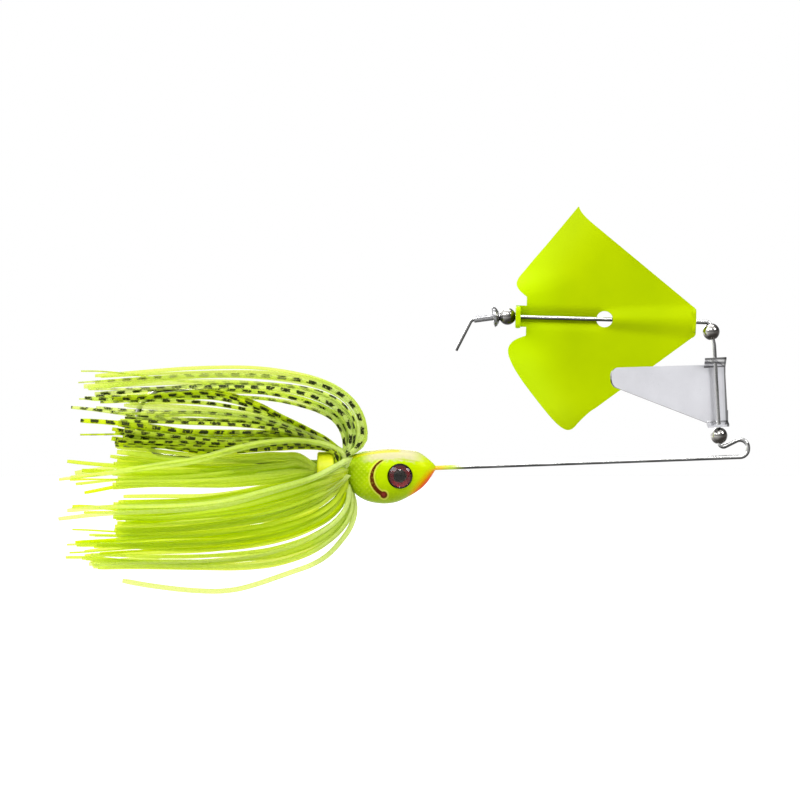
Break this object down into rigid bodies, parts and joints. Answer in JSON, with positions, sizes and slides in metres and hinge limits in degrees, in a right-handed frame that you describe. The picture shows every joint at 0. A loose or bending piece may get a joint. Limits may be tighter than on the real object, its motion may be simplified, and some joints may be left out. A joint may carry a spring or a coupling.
{
  "type": "buzzbait fishing lure",
  "caption": "Buzzbait fishing lure with a bent wire frame, painted head with skirt and hook, spinning blade, beads and a swinging clacker.",
  "frame": {"origin": "centre of the open line-tie bend at the front of the wire", "axes": "+X forward, away from the skirt, the way the line pulls; +Z from the hook arm up to the blade shaft; +Y to the far side"},
  "size_m": [0.1523, 0.0438, 0.0843],
  "materials": {
    "head_paint": "gloss",
    "wire_steel": "satin",
    "hook_steel": "gloss",
    "collar_rubber": "satin",
    "eye_foil": "gloss",
    "eye_resin": "gloss",
    "bead_metal": "polished",
    "rivet_aluminium": "satin",
    "blade_paint": "gloss",
    "clacker_metal": "satin",
    "skirt_silicone": "satin"
  },
  "bodies": {
    "frame": {"lead_head": "head_paint", "wire_frame": "wire_steel", "hook": "hook_steel", "skirt_collar": "collar_rubber", "eye_backing_near": "eye_foil", "eye_backing_far": "eye_foil", "eye_dome_near": "eye_resin", "eye_dome_far": "eye_resin", "skirt_bundle_near_1": "skirt_silicone", "skirt_bundle_near_2": "skirt_silicone", "skirt_bundle_near_3": "skirt_silicone", "skirt_bundle_near_4": "skirt_silicone", "skirt_bundle_near_5": "skirt_silicone", "skirt_bundle_near_6": "skirt_silicone", "skirt_bundle_far_1": "skirt_silicone", "skirt_bundle_far_2": "skirt_silicone", "skirt_bundle_far_3": "skirt_silicone", "skirt_bundle_far_4": "skirt_silicone", "skirt_bundle_far_5": "skirt_silicone", "skirt_bundle_far_6": "skirt_silicone"},
    "rear_bead": {"rear_bead": "bead_metal"},
    "blade": {"buzz_blade": "blade_paint"},
    "rivet": {"rivet": "rivet_aluminium"},
    "upper_bead": {"upper_bead": "bead_metal"},
    "lower_bead": {"lower_bead": "bead_metal"},
    "clacker": {"clacker": "clacker_metal"}
  },
  "joints": [
    {"name": "blade_play", "type": "slide", "parent": "frame", "child": "rear_bead", "axis": [0.9996, 0, -0.0287], "range_m": [0, 0.0012]},
    {"name": "blade_spin", "type": "hinge", "parent": "rear_bead", "child": "blade", "pos_m": [-0.0298, 0, 0.02838], "axis": [0.9996, 0, -0.0287], "continuous": true},
    {"name": "rivet_spin", "type": "hinge", "parent": "frame", "child": "rivet", "pos_m": [-0.0533, 0, 0.02906], "axis": [-0.9914, 0, -0.1305], "continuous": true},
    {"name": "upper_bead_slide", "type": "slide", "parent": "frame", "child": "upper_bead", "axis": [-0.1972, 0, 0.9804], "range_m": [-0.0012, 0]},
    {"name": "lower_bead_spin", "type": "hinge", "parent": "frame", "child": "lower_bead", "pos_m": [-0.00461, 0, 0.00275], "axis": [-0.0557, 0, 0.9984], "continuous": true},
    {"name": "clacker_swing", "type": "hinge", "parent": "frame", "child": "clacker", "pos_m": [-0.00478, 0, 0.00572], "axis": [-0.0557, 0, 0.9984], "range_deg": [0, 284]}
  ]
}
